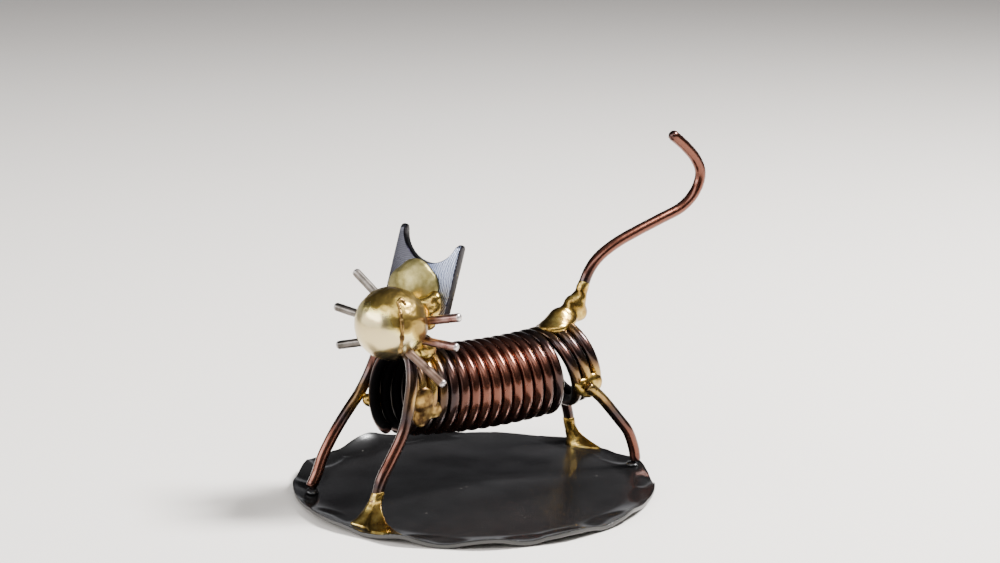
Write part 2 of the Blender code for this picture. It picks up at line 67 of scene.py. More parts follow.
print("nodes:", len(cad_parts), "size in mm:",
      [round((high - low) / MM, 1) for low, high in zip(*cad_box)])

# %% [markdown]
# ## The camera
#
# The photograph looks down on the cat's left side from a little above, with a long lens: the
# turns of the body hardly get smaller towards the tail. The camera is placed by the direction
# it looks along and the point that it looks at, so both can be read and changed at once.

# %% Camera
CAMERA_TARGET = Vector((3.778, 5.869, 57.83)) * MM
CAMERA_BACK = Vector((0.8201, -0.5279, 0.2207)).normalized()
CAMERA_DISTANCE = 550 * MM
LENS_MM = 74.27

bpy.ops.object.select_all(action="DESELECT")
bpy.ops.object.camera_add(location=CAMERA_TARGET + CAMERA_BACK * CAMERA_DISTANCE,
                          rotation=CAMERA_BACK.to_track_quat("Z", "Y").to_euler())
camera = bpy.context.object
camera.name = "photo_camera"
camera.data.lens = LENS_MM
camera.data.sensor_width = 36
camera.data.clip_start = 0.01
camera.data.clip_end = 30
bpy.context.scene.camera = camera
print("camera at", [round(value, 3) for value in camera.location])

# %% [markdown]
# ## Small helpers
#
# Operators act on whatever is selected, so the first helper lets go of everything and takes
# hold of one piece. The next adds a modifier and applies it at once, as one would by hand.
# The last gives a finished piece its shading, its material and its place in the model.

# %% Helpers
def hold(piece):
    """Select one object alone, in object mode."""
    if bpy.context.object and bpy.context.object.mode != "OBJECT":
        bpy.ops.object.mode_set(mode="OBJECT")
    bpy.ops.object.select_all(action="DESELECT")
    piece.select_set(True)
    bpy.context.view_layer.objects.active = piece


def modify(piece, kind, **settings):
    """Add a modifier with its settings and apply it."""
    hold(piece)
    change = piece.modifiers.new(kind.lower(), kind)
    for name, value in settings.items():
        setattr(change, name, value)
    bpy.ops.object.modifier_apply(modifier=change.name)


def settle(piece):
    """Put the piece's place, turn and scale into its mesh."""
    hold(piece)
    bpy.ops.object.transform_apply(location=True, rotation=True, scale=True)


def tidy_mesh(piece, distance=0.002 * MM):
    """Merge the doubles and point all faces outwards."""
    hold(piece)
    bpy.ops.object.mode_set(mode="EDIT")
    bpy.ops.mesh.select_all(action="SELECT")
    bpy.ops.mesh.remove_doubles(threshold=distance)
    bpy.ops.mesh.normals_make_consistent(inside=False)
    bpy.ops.object.mode_set(mode="OBJECT")


def named(name):
    """Name the object that was just added, and its data."""
    piece = bpy.context.object
    piece.name = piece.data.name = name
    return piece


def store(piece, name, values, domain="POINT"):
    """Keep one number for each vertex or face, for the materials to read."""
    piece.data.attributes.new(name, "FLOAT", domain).data.foreach_set("value", values)


def dress(piece, nodes, material, angle=40):
    """Shade the piece, give it its material, and let it stand for its CAD nodes."""
    hold(piece)
    bpy.ops.object.shade_smooth_by_angle(angle=math.radians(angle))
    piece.data.materials.clear()
    piece.data.materials.append(material)
    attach(piece, "root")
    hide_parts(*nodes)
    print(piece.name, "has", len(piece.data.polygons), "faces")


# %% [markdown]
# ## Materials from nodes
#
# Colours are picked as sRGB hex values, as a colour picker shows them, and turned to linear
# light by one function. Another adds a node with its settings and links, and the small ones
# after it name the nodes that every material here needs. Patterns are measured in metres on the
# object, so a grain of so many millimetres needs a scale of one over that length.

# %% Colour and node helpers
def linear(code):
    """A hex colour as linear light, with full alpha."""
    shares = [int(code[k:k + 2], 16) / 255 for k in (1, 3, 5)]
    return (*[s / 12.92 if s <= 0.04045 else ((s + 0.055) / 1.055) ** 2.4 for s in shares], 1)


def per(millimetres):
    """The texture scale at which a pattern repeats about every so many millimetres."""
    return 1 / (millimetres * MM)


def add_node(tree, kind, inputs=(), links=(), stops=(), **settings):
    """One node with its settings, its fixed inputs, its links and, for a ramp, its stops."""
    node = tree.nodes.new(kind)
    for name, value in settings.items():
        setattr(node, name, value)
    for socket, value in dict(inputs).items():
        node.inputs[socket].default_value = value
    for socket, source in dict(links).items():
        tree.links.new(source, node.inputs[socket])
    for k, (place, code) in enumerate(stops):
        band = node.color_ramp.elements
        stop = band[k] if k < 2 else band.new(place)
        stop.position = place
        stop.color = linear(code)
    return node


def new_material(name, **fixed):
    """A material with its shader's fixed values: itself, its nodes, its shader, its places."""
    made = bpy.data.materials.new(name)
    made.use_nodes = True
    shader = made.node_tree.nodes["Principled BSDF"]
    for socket, value in fixed.items():
        shader.inputs[socket.replace("_", " ")].default_value = value
    where = add_node(made.node_tree, "ShaderNodeTexCoord").outputs["Object"]
    return made, made.node_tree, shader, where


def stored(tree, name):
    """A number that the mesh keeps for each vertex or face."""
    return add_node(tree, "ShaderNodeAttribute", attribute_name=name).outputs["Fac"]


def grain(tree, where, millimetres, detail=2, **more):
    """A cloudy pattern, with grains of about so many millimetres."""
    settings = {"Scale": per(millimetres), "Detail": detail, **more}
    return add_node(tree, "ShaderNodeTexNoise", settings, {"Vector": where}).outputs["Fac"]


def ramp(tree, source, stops):
    """A value as a colour; the two outer stops come first."""
    return add_node(tree, "ShaderNodeValToRGB", (), {"Fac": source}, stops).outputs[0]


def stretch(tree, source, to_min, to_max, from_min=0.0, from_max=1.0):
    """A value moved from one range into another, and held there."""
    return add_node(tree, "ShaderNodeMapRange", {
        "From Min": from_min, "From Max": from_max, "To Min": to_min, "To Max": to_max},
        {"Value": source}).outputs[0]


def sums(tree, operation, *terms, clamp=False):
    """A sum on numbers and on other nodes' values."""
    fixed = {k: term for k, term in enumerate(terms) if isinstance(term, float)}
    links = {k: term for k, term in enumerate(terms) if not isinstance(term, float)}
    return add_node(tree, "ShaderNodeMath", fixed, links, operation=operation,
                    use_clamp=clamp).outputs[0]


def mixed(tree, share, low, high):
    """One colour that turns into another; each is a hex value or a node's colour."""
    ends = {6: low, 7: high}
    fixed = {k: linear(end) for k, end in ends.items() if isinstance(end, str)}
    links = {k: end for k, end in ends.items() if not isinstance(end, str)}
    return add_node(tree, "ShaderNodeMix", fixed, {0: share, **links},
                    data_type="RGBA").outputs[2]


def finish(tree, shader, colour, roughness, relief, strength, depth):
    """Link the colour and the roughness, and a bump of so many millimetres."""
    bump = add_node(tree, "ShaderNodeBump", {"Strength": strength, "Distance": depth * MM},
                    {"Height": relief}).outputs[0]
    for source, socket in ((colour, "Base Color"), (roughness, "Roughness"), (bump, "Normal")):
        tree.links.new(source, shader.inputs[socket])
    print(tree.id_data.name, "has", len(tree.nodes), "nodes")


# %% [markdown]
# ## Copper-plated wire
#
# The wire is steel with a thin copper plating, drawn bright and then heated by the torch, and
# lacquered at the end. Away from the joints it is a deep red-brown, nearer it turns violet and
# almost black, and right beside the braze it is straw-brown. Each vertex therefore carries its
# distance from the nearest joint, and a ramp turns that distance into the heat colours. The
# clear lacquer is a thin coat on top. The inner side of the winding is painted near black as
# painted shade, and there the wire is dull and has no lacquer.

# %% Copper wire material
HEAT_REACH = 15.0  # how far from a joint the heat colours end, in mm
copper, tree, shader, where = new_material(
    "heat_tinted_copper_wire_with_painted_shade", Metallic=1.0, Coat_Weight=1.0, Coat_Roughness=0.09)
wander = sums(tree, "MULTIPLY_ADD", grain(tree, where, 7, 3), 7.0, -3.5)
far = sums(tree, "ADD", stored(tree, "joint_mm"), wander)
heat = ramp(tree, sums(tree, "DIVIDE", far, HEAT_REACH, clamp=True), [
    (0.0, "#94783f"), (1.0, "#613a2d"), (0.06, "#6f5431"), (0.15, "#443120"),
    (0.3, "#2f2424"), (0.46, "#422b24"), (0.68, "#553227")])
scorch = stretch(tree, stored(tree, "cut_mm"), 0.25, 1.0, 0.6, 3.0)
inside = stored(tree, "inside")
# Painted shade: the inner side of the winding is painted near black.
tint = mixed(tree, inside, mixed(tree, scorch, "#15141a", heat), "#0b0a0b")
lacquer = sums(tree, "MULTIPLY_ADD", inside, -0.3, 0.3)
tree.links.new(lacquer, shader.inputs["Coat Weight"])
smear = stretch(tree, grain(tree, where, 1.4, 4), 0.16, 0.34)
dull = sums(tree, "MULTIPLY_ADD", inside, 0.55, smear)
finish(tree, shader, tint, dull, grain(tree, where, 2.6), 0.35, 0.06)

# %% [markdown]
# ## A wire from a curve
#
# A wire is a path with a round section. By hand one would draw a path curve, give it a round
# bevel and convert it to a mesh. That keeps the section round through every bend, which
# extruding a circle step by step doesn't. The path is a smooth curve through a few measured
# points. A cut end gets a small round on its edge, and a ground tip is drawn in like a dome, by
# letting the last points of the path shrink.

# %% Wire tools
WIRE_R = 1.55 * MM
CAT_X = -3.7 * MM
SQUARE_END = [(0.0, 0.72), (0.1, 0.86), (0.24, 0.96)]  # depth and width, in wire radii
DOMED_END = [(0.0, 0.12), (0.04, 0.34), (0.14, 0.56), (0.32, 0.77), (0.58, 0.92)]


def smooth_route(points, step):
    """Points a short step apart on a Catmull-Rom curve through the given ones."""
    ends = [2 * points[0] - points[1], *points, 2 * points[-1] - points[-2]]
    route = [points[0]]
    for before, start, end, after in zip(ends, ends[1:], ends[2:], ends[3:]):
        pieces = max(1, round((end - start).length / step))
        for k in range(1, pieces + 1):
            t = k / pieces
            route.append(0.5 * (2 * start + (end - before) * t
                                + (2 * before - 5 * start + 4 * end - after) * t ** 2
                                + (3 * start - before - 3 * end + after) * t ** 3))
    return route


def with_end(points, radius, profile):
    """The path's last point replaced by a few that shrink the wire to its end's shape."""
    tip = points[-1][0]
    along = (tip - points[-2][0]).normalized()
    reach = (profile[-1][0] + 0.2) * radius
    kept = [pair for pair in points if (tip - pair[0]).dot(along) > reach
            or (tip - pair[0]).length > 3 * radius]
    shaped = [(tip - along * depth * radius, width) for depth, width in reversed(profile)]
    return kept + shaped


def wire_piece(name, route, radius, start=SQUARE_END, end=SQUARE_END, sides=24):
    """A wire along a route, converted from a bevelled path curve."""
    points = with_end([(place, 1.0) for place in route], radius, end)
    points = with_end(points[::-1], radius, start)[::-1]
    bpy.ops.object.select_all(action="DESELECT")
    bpy.ops.curve.primitive_nurbs_path_add()
    path = named(name)
    path.data.splines.clear()
    line = path.data.splines.new("POLY")
    line.points.add(len(points) - 1)
    for target, (place, width) in zip(line.points, points):
        target.co = (*place, 1)
        target.radius = width
    path.data.bevel_depth = radius
    path.data.bevel_resolution = sides // 2 - 2
    path.data.use_fill_caps = True
    hold(path)
    bpy.ops.object.convert(target="MESH")
    wire = bpy.context.object
    settle(wire)
    tidy_mesh(wire)
    mark_distances(wire, route)
    return wire


# %% [markdown]
# The torch was held at the joints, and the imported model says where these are: each braze is a
# node. The distance to the nearest one is stored on the wire's vertices, and so is the distance
# to the nearer cut end, where the metal is scorched.

# %% Distance marks
bpy.context.view_layer.update()
graph = bpy.context.evaluated_depsgraph_get()
JOINTS = [BVHTree.FromObject(node, graph) for name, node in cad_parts.items()
          if name.endswith("braze")]


def mark_distances(wire, route):
    """Store how far each vertex is from the nearest joint and from the nearer end, in mm."""
    joint_mm, cut_mm = [], []
    for vert in wire.data.vertices:
        joint_mm.append(min(tree.find_nearest(vert.co)[3] for tree in JOINTS) / MM)
        cut_mm.append(min((vert.co - route[0]).length, (vert.co - route[-1]).length) / MM)
    store(wire, "joint_mm", joint_mm)
    store(wire, "cut_mm", cut_mm)


print("joints:", len(JOINTS))

# %% [markdown]
# ## The wound body
#
# The real body is one long wire wound tightly round a bar, then sprung open a little and bent
# so that its back sags. At the rear the last turns lean back and fan out where the tail pulls
# them up. A screw modifier would give a straight and even spring, so the path is worked out
# turn by turn instead: the top of each turn lies on the sagging back line, and the ring hangs
# from it at its own slope.

# %% Path of the winding
COIL_R = 10.75 * MM
COIL_FRONT = Vector((CAT_X, -23.2 * MM, 30.6 * MM))
FRONT_SLOPE = math.radians(-9.3)
SAG_RADIUS = 190 * MM
TIGHT_TURNS = 14.5
REAR_TURNS = 2.5
REAR_LEAN = math.radians(11.5)
REAR_SPACING = 3.5 * MM
TURN_PITCH = 3.16 * MM / (1 - COIL_R / SAG_RADIUS)
REAR_FAN = 0.34 * MM / (2 * COIL_R)
STEPS_PER_TURN = 64


def turn_top(turns):
    """Top of the wire's middle line after a count of turns, and the lean of the turn there."""
    slope = FRONT_SLOPE + min(turns, TIGHT_TURNS) * TURN_PITCH / SAG_RADIUS
    centre = COIL_FRONT + SAG_RADIUS * Vector((0, math.sin(slope) - math.sin(FRONT_SLOPE),
                                               math.cos(FRONT_SLOPE) - math.cos(slope)))
    top = centre + COIL_R * Vector((0, -math.sin(slope), math.cos(slope)))
    past = turns - TIGHT_TURNS
    if past > 0:
        slope += REAR_LEAN - REAR_FAN * past
        course = slope + REAR_FAN * past / 2
        top += past * REAR_SPACING * Vector((0, math.cos(course), math.sin(course)))
    return top, slope


def coil_place(turns, degrees, out):
    """A place beside the winding: so far along, so far round from the top to the left, and
    so far out from the middle of the ring."""
    top, slope = turn_top(turns)
    angle = math.radians(degrees)
    centre = top + COIL_R * Vector((0, math.sin(slope), -math.cos(slope)))
    return centre + out * Vector((math.sin(angle), -math.cos(angle) * math.sin(slope),
                                  math.cos(angle) * math.cos(slope)))


# %% Body
coil_route = [coil_place(k / STEPS_PER_TURN, math.degrees(math.tau * (k / STEPS_PER_TURN + 0.5)),
                         COIL_R)
              for k in range(round((TIGHT_TURNS + REAR_TURNS) * STEPS_PER_TURN) + 1)]
body = wire_piece("wound_body", coil_route, WIRE_R, sides=20)
# Painted shade: how far each vertex faces into the winding, where the material paints it near
# black.
painted_shade_inside = []
for vert in body.data.vertices:
    turns = (vert.co.y - coil_route[0].y) / (coil_route[-1].y - coil_route[0].y)
    hub = coil_place(turns * (TIGHT_TURNS + REAR_TURNS), 0, 0)
    way = Vector((vert.co.x - hub.x, 0, vert.co.z - hub.z))
    painted_shade_inside.append(max(0.0, min(1.0, (COIL_R + 0.3 * MM - way.length) / (0.6 * MM))))
store(body, "inside", painted_shade_inside)
dress(body, ["body_coil"], copper)

# %% [markdown]
# ## Legs and tail
#
# The legs are bent by hand, so no two are alike: the front ones come out of the head, pass the
# sides of the winding and curve forwards to the feet, the rear ones start under the last turns.
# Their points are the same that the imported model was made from. The feet are cut square and
# stand on the disc, whose rim is beaten up, so the disc's height is worked out first.

# %% Height of the beaten disc
DISC_R = 49.4 * MM
DISC_T = 1.2 * MM
RIM_LIFT = 1.5 * MM
RIM_WIDTH = 9.0 * MM
RIM_FLAT_SIDE = math.radians(135)
RIM_HUMPS = [(188, 16, 1.8 * MM), (226, 7, 2.0 * MM)]  # degrees round, half-width, height
SCALLOPS = 13
SCALLOP_LIFT = 0.8 * MM
SCALLOP_DEPTH = 0.7 * MM


def scallop(angle):
    """Height of the beaten rim from -1 to 1, uneven as hammer blows leave it."""
    return (0.72 * math.cos(SCALLOPS * angle + 0.9 * math.sin(2 * angle) + 0.6)
            + 0.28 * math.sin(3 * angle + 0.8))


def rim_rise(x, y):
    """How far the beaten rim lifts the sheet at a place, and how far it is drawn in there."""
    around = math.atan2(y, x)
    wave = scallop(around)
    beaten = 1 - max(0.0, math.cos(around - RIM_FLAT_SIDE)) ** 8
    edge = max(0.0, 1 - (DISC_R - math.hypot(x, y)) / RIM_WIDTH)
    lift = beaten * (RIM_LIFT + SCALLOP_LIFT * wave)
    for where_deg, half_width, height in RIM_HUMPS:
        away = math.degrees(math.remainder(around - math.radians(where_deg), math.tau))
        lift += height * math.exp(-(away / half_width) ** 2)
    return edge ** 2 * lift, edge * SCALLOP_DEPTH * (1 - wave) / 2


# %% Legs and tail
LEG_LINE = COIL_R + 2 * WIRE_R + 0.3 * MM
LEGS = {  # side, then the foot as (out, y) and the points above it as (out, y, z), in mm
    "front_left_leg": (1, (1.2, -39.6), [
        (1.0, -37.2, 6.8), (0.8, -35.3, 11.8), (0.5, -32.2, 16.6), (0.3, -29.2, 21.4),
        (0.1, -27.4, 25.6), (-0.1, -26.4, 30.0), (-0.9, -25.0, 35.4), (-2.9, -24.0, 40.4),
        (-5.6, -24.2, 44.6)]),
    "front_right_leg": (-1, (-0.8, -41.3), [
        (-0.6, -39.3, 6.0), (-0.2, -36.9, 11.2), (0.0, -32.9, 17.4), (0.2, -28.7, 22.6),
        (0.4, -25.2, 26.6), (0.4, -22.2, 31.5), (-0.2, -20.3, 36.4), (-3.0, -20.4, 40.8),
        (-7.8, -22.2, 44.3), (-13.7, -24.6, 46.6)]),
    "rear_left_leg": (1, (1.2, 45.8), [
        (0.9, 45.3, 7.0), (0.7, 43.4, 12.0), (0.3, 40.5, 15.9), (0.0, 35.9, 21.5),
        (0.0, 32.8, 24.6), (0.0, 29.9, 26.8)]),
    "rear_right_leg": (-1, (-1.2, 44.5), [
        (-1.0, 43.3, 6.7), (-0.8, 42.3, 11.9), (-0.7, 40.6, 16.6), (-0.3, 38.2, 20.6),
        (-0.1, 34.2, 24.2), (0.0, 30.4, 26.6)]),
}
TAIL = [  # (out, back, up) from the top of the last turn, in mm
    (0, 3.2, 3.4), (0, 4.7, 7.0), (0, 7.3, 12.9), (0, 10.8, 16.8), (0, 16.6, 20.1),
    (0, 23.9, 22.8), (0, 31.9, 25.4), (0, 39.5, 28.0), (0, 44.3, 32.0), (0, 46.2, 37.0),
    (0, 44.5, 41.4), (0, 40.5, 45.6), (0, 35.2, 49.7)]
LEG_STEP = 0.6 * MM


def beside_body(side, out, y, z=0.0):
    """A place in millimetres, out from where a wire would lie along one side of the body."""
    return Vector((CAT_X + side * (LEG_LINE + out * MM), y * MM, z * MM))


leg_routes = {}
for name, (side, foot, points) in LEGS.items():
    bends = [beside_body(side, *point) for point in points]
    end = beside_body(side, *foot)
    way = (bends[0] - end).normalized()
    rises = [rim_rise(end.x + WIRE_R * math.cos(turn), end.y + WIRE_R * math.sin(turn))[0]
             for turn in (math.tau * k / 8 for k in range(8))]
    end.z = DISC_T + max(rises) + 0.3 * MM + WIRE_R * math.hypot(way.x, way.y)
    leg_routes[name] = smooth_route([end, *bends], LEG_STEP)
    dress(wire_piece(name + "_wire", leg_routes[name], WIRE_R), [name], copper)

last_top = turn_top(TIGHT_TURNS + REAR_TURNS)[0]
tail_route = smooth_route([last_top + Vector(point) * MM for point in TAIL], LEG_STEP)
tail = wire_piece("tail_wire", tail_route, WIRE_R, end=DOMED_END)
dress(tail, ["tail"], copper)

# %% [markdown]
# ## The disc
#
# The base is thin sheet steel, cut round, blackened and waxed. Its rim was beaten up from below
# with a ball hammer, which left scallops and lens-shaped dishes. By hand: a thin cylinder, its
# edges bevelled, its two faces inset ring by ring, and then each ring lifted as the hammer
# did. The dishes are long shallow hollows between the scallops, pointing along the rim.

# %% Blackened steel material
black, tree, shader, where = new_material("blackened_waxed_steel", Metallic=0.0, IOR=1.6)
scale = ramp(tree, grain(tree, where, 16, 5, Roughness=0.6), [(0.3, "#090909"), (0.7, "#100f0f")])
dust = add_node(tree, "ShaderNodeTexVoronoi", {"Scale": per(3.2)}, {"Vector": where})
near = stretch(tree, dust.outputs["Distance"], 0.0, 1.0, 0.1, 0.04)
few = stretch(tree, grain(tree, where, 9), 0.0, 0.5, 0.58, 0.64)
tint = mixed(tree, sums(tree, "MULTIPLY", near, few), scale, "#77746f")
wear = stretch(tree, grain(tree, where, 6, 6), 0.16, 0.28)
finish(tree, shader, tint, wear, grain(tree, where, 5, 3), 0.2, 0.08)

# %% Disc
DISC_SIDES = 234
SHEET_R = DISC_R - 0.1 * MM
RIM_RINGS = [0.7 * MM] * 14
FLAT_RINGS = [3.0 * MM] * 12
DISHES = 17
random.seed(4)
dishes = [(math.tau * (k + random.uniform(-0.28, 0.28)) / DISHES, random.uniform(7.5, 10.5) * MM,
           random.uniform(3.2, 4.6) * MM, random.uniform(0.4, 0.75) * MM)
          for k in range(DISHES)]  # angle round, half-length, half-width, depth

bpy.ops.object.select_all(action="DESELECT")
bpy.ops.mesh.primitive_cylinder_add(vertices=DISC_SIDES, radius=SHEET_R, depth=DISC_T,
                                    location=(0, 0, DISC_T / 2))
disc = named("beaten_disc")
bpy.ops.object.mode_set(mode="EDIT")
bpy.ops.mesh.select_all(action="SELECT")
bpy.ops.mesh.select_face_by_sides(number=4, type="GREATER")
bpy.ops.mesh.bevel(offset=0.28 * MM, segments=3, affect="EDGES")
bpy.ops.object.mode_set(mode="OBJECT")
settle(disc)

bpy.context.tool_settings.mesh_select_mode = (False, False, True)
bpy.ops.object.mode_set(mode="EDIT")
bpy.ops.mesh.select_all(action="DESELECT")
bpy.ops.object.mode_set(mode="OBJECT")
for face in disc.data.polygons:
    face.select = len(face.vertices) == DISC_SIDES
bpy.ops.object.mode_set(mode="EDIT")
for width in RIM_RINGS + FLAT_RINGS:
    bpy.ops.mesh.inset(thickness=width, use_even_offset=False)
bpy.ops.mesh.poke()
bpy.ops.object.mode_set(mode="OBJECT")
print("disc:", len(disc.data.polygons), "faces before hammering")


def hammered(x, y):
    """How deep the hammer's dishes and the sheet's own unevenness are at a place."""
    radius, around = math.hypot(x, y), math.atan2(y, x)
    depth = 0.0
    for angle, length, width, deep in dishes:
        along = math.remainder(around - angle, math.tau) * DISC_R / length
        across = (DISC_R - 2.6 * MM - radius) / width
        inside = 1 - along ** 2 - across ** 2
        if inside > 0:
            depth = max(depth, deep * min(1.0, inside * 1.6))
    wavy = noise.noise(Vector((x, y, 0)) * per(22)) * 0.25 * MM
    return depth - wavy * min(1.0, (DISC_R - radius) / RIM_WIDTH)


for vert in disc.data.vertices:
    rise, drawn_in = rim_rise(vert.co.x, vert.co.y)
    dip = hammered(vert.co.x, vert.co.y)
    shrink = 1 - drawn_in / DISC_R
    if vert.co.z < DISC_T / 2:
        dip = min(dip, rise)
    vert.co = Vector((vert.co.x * shrink, vert.co.y * shrink, vert.co.z + rise - min(dip, rise)))
tidy_mesh(disc)
dress(disc, ["base_disc"], black, angle=35)

# %% [markdown]
# ## The head ball
#
# The head is a bearing ball. Brass from the torch ran over it in a thin wash: smooth and pale
# below, thick, yellow and lumpy on top and towards the ears. A sphere gives the ball. How much
# brass lies on each place is stored on its vertices, it lifts them through a displace modifier,
# and the material reads it too, so that colour and relief belong together.

# %% Head directions
BALL = Vector((2.65, -27.0, 50.45)) * MM
BALL_R = 9.6 * MM
FORWARD = Vector((0.4924, -0.8529, 0.1736)).normalized()
RIGHT = Vector((0.8680, 0.4663, -0.1710)).normalized()
UP = FORWARD.cross(RIGHT).normalized()
HEAD_TURN = Matrix((RIGHT, UP, FORWARD)).transposed()


def head_place(right_by, up_by, forward_by):
    """A place in millimetres, in the head's own directions from the ball's centre."""
    return BALL + (RIGHT * right_by + UP * up_by + FORWARD * forward_by) * MM


print("ball centre in mm:", [round(value / MM, 2) for value in BALL])

# %% Brassed ball material
ball_brass_and_painted_reflection, tree, shader, where = new_material("brass_washed_ball_steel_and_painted_reflection", Metallic=1.0)
ragged = sums(tree, "MULTIPLY_ADD", grain(tree, where, 3.0, 5, Roughness=0.62), 0.7, -0.35)
amount = sums(tree, "ADD", stored(tree, "wash"), ragged, clamp=True)
metal = ramp(tree, amount, [
    (0.0, "#cbb98a"), (1.0, "#8b733c"), (0.3, "#d6c68e"), (0.5, "#e6d484"), (0.72, "#b49a50")])
lumpy = sums(tree, "MULTIPLY", grain(tree, where, 0.9, 4), amount)
finish(tree, shader, metal, stretch(tree, amount, 0.22, 0.3), lumpy, 0.6, 0.12)

# %% Ball
bpy.ops.object.select_all(action="DESELECT")
bpy.ops.mesh.primitive_uv_sphere_add(segments=96, ring_count=64, radius=BALL_R, location=BALL)
ball = named("brassed_ball")
settle(ball)
DARK_REFLECTION_SPOT = Vector((0.8857, -0.2419, 0.2)).normalized()  # a darker, lumpier spot on the face: its darker colour is a painted reflection of the dark camera side


def wash_at(place):
    """How much brass lies on the ball at a place, from 0 to 1, with a painted reflection spot on
    the face added in.
    """
    way = (place - BALL).normalized()
    high = way.dot(UP) * 0.85 - way.dot(FORWARD) * 0.25 + 0.22
    blot = noise.noise(way * 2.3 + Vector((3, 1, 7))) * 0.45
    # Painted reflection: a darker spot in the middle of the face, where the dark camera side would
    # show.
    dark_reflection = max(0.0, 1 - (way - DARK_REFLECTION_SPOT).length / 0.42) * 1.1
    side = max(0.0, way.dot(RIGHT) - 0.55) * 1.4
    return max(0.0, min(1.0, 1.3 * high + blot + dark_reflection + side))


amounts = [wash_at(vert.co) for vert in ball.data.vertices]
# The stored amount holds the brass and also the painted reflection spot.
store(ball, "wash", amounts)
group = ball.vertex_groups.new(name="wash")
for k, share in enumerate(amounts):
    group.add([k], share, "REPLACE")


def cloud_texture(name, size, depth=2):
    """A cloudy texture for the displace modifier, with its grain in metres."""
    made = bpy.data.textures.new(name, "CLOUDS")
    made.noise_scale = size
    made.noise_depth = depth
    return made


modify(ball, "DISPLACE", texture=cloud_texture("brass_runs", 2.4 * MM), strength=0.5 * MM,
       mid_level=0.5, texture_coords="LOCAL", vertex_group="wash")
dress(ball, ["head_ball"], ball_brass_and_painted_reflection, angle=80)

# %% [markdown]
# ## The ears
#
# The ears are one piece of flat bar. Its end was cut with a large round cutter, which left two
# points at the sides, and its face was ground in fine arcs. The arcs are painted pale on the near
# ear as a painted sheen, and all of the bar but its two flat faces is painted near black as
# painted shade. It is drawn as a flat filled curve, given a thickness and a small round on its
# edges, converted and turned into the head's directions. The two tips are filed round, so rows of
# edges are cut across them and drawn in to a dome.

# %% Blued steel material, with painted sheen and painted shade
blued, tree, shader, where = new_material("blued_steel_bar_with_painted_sheen_and_shade", Metallic=1.0)
ARCS_CENTRE = head_place(-3.6, 10.5, -12.4)
ARC_SPACING = 0.5
arcs_from = add_node(tree, "ShaderNodeMapping", {
    "Location": ARCS_CENTRE, "Rotation": HEAD_TURN.to_euler()}, {"Vector": where},
    vector_type="TEXTURE").outputs[0]
arcs = add_node(tree, "ShaderNodeTexWave", {
    "Scale": 2 * per(ARC_SPACING) / math.tau, "Distortion": 3.5, "Detail": 2,
    "Detail Scale": 2.0}, {"Vector": arcs_from}, wave_type="RINGS",
    rings_direction="Z").outputs["Fac"]
across = add_node(tree, "ShaderNodeSeparateXYZ", {}, {0: arcs_from}).outputs["X"]
cloud = grain(tree, where, 4, 3)
blue = ramp(tree, cloud, [(0.3, "#2b2f40"), (0.7, "#363e5a")])
steel = mixed(tree, stretch(tree, across, 0.0, 1.0, 4 * MM, 1 * MM), blue, "#37363b")
# Painted sheen: the ground arcs are painted pale, more strongly towards the near ear's outer edge.
painted_sheen_share = stretch(tree, across, 0.04, 0.85, 4 * MM, 11 * MM)
ground = mixed(tree, sums(tree, "MULTIPLY", arcs, painted_sheen_share), steel, "#c3cbe0")
# Painted shade: all of the bar but its two flat faces is painted near black.
face = stored(tree, "face")
grooves = sums(tree, "MULTIPLY", arcs, face)
finish(tree, shader, mixed(tree, face, "#0e0c13", ground), stretch(tree, cloud, 0.22, 0.36),
       grooves, 0.5, 0.05)

# %% Ear plate
PLATE_HALF = 9.45
PLATE_T = 3.2
EAR_TOPS = {1: 23.3, -1: 24.5}
PLATE_BOTTOM = 3.4
NOTCH_R = 8.2
NOTCH_MIDDLE = 24.5
NOTCH_START = math.radians(14)
EDGE_ROUND = 0.28
PLATE_MIDDLE = head_place(-0.4, 0, -12.4)
tip = (PLATE_HALF - NOTCH_R) / 2
outline = [(-PLATE_HALF, PLATE_BOTTOM), (PLATE_HALF, PLATE_BOTTOM)]
for side in (1, -1):
    for k in range(13):
        angle = math.pi * k / 12
        outline.append((side * (PLATE_HALF - tip) + tip * math.cos(angle),
                        EAR_TOPS[side] - tip + tip * math.sin(angle)))
    if side == 1:
        for k in range(49):
            angle = NOTCH_START + (math.pi - 2 * NOTCH_START) * k / 48
            outline.append((NOTCH_R * math.cos(angle), NOTCH_MIDDLE - NOTCH_R * math.sin(angle)))

bpy.ops.object.select_all(action="DESELECT")
bpy.ops.curve.primitive_nurbs_path_add()
ears = named("notched_ears")
drawing = ears.data
drawing.dimensions = "2D"
drawing.fill_mode = "BOTH"
drawing.extrude = PLATE_T / 2 - EDGE_ROUND
drawing.bevel_depth = EDGE_ROUND
drawing.bevel_resolution = 2
drawing.offset = -EDGE_ROUND
drawing.splines.clear()
line = drawing.splines.new("POLY")
line.points.add(len(outline) - 1)
for target, (x, y) in zip(line.points, outline):
    target.co = (x, y, 0, 1)
line.use_cyclic_u = True
ears.matrix_world = (Matrix.Translation(PLATE_MIDDLE) @ HEAD_TURN.to_4x4()
                     @ Matrix.Scale(MM, 4))
hold(ears)
bpy.ops.object.convert(target="MESH")
settle(ears)
tidy_mesh(ears)

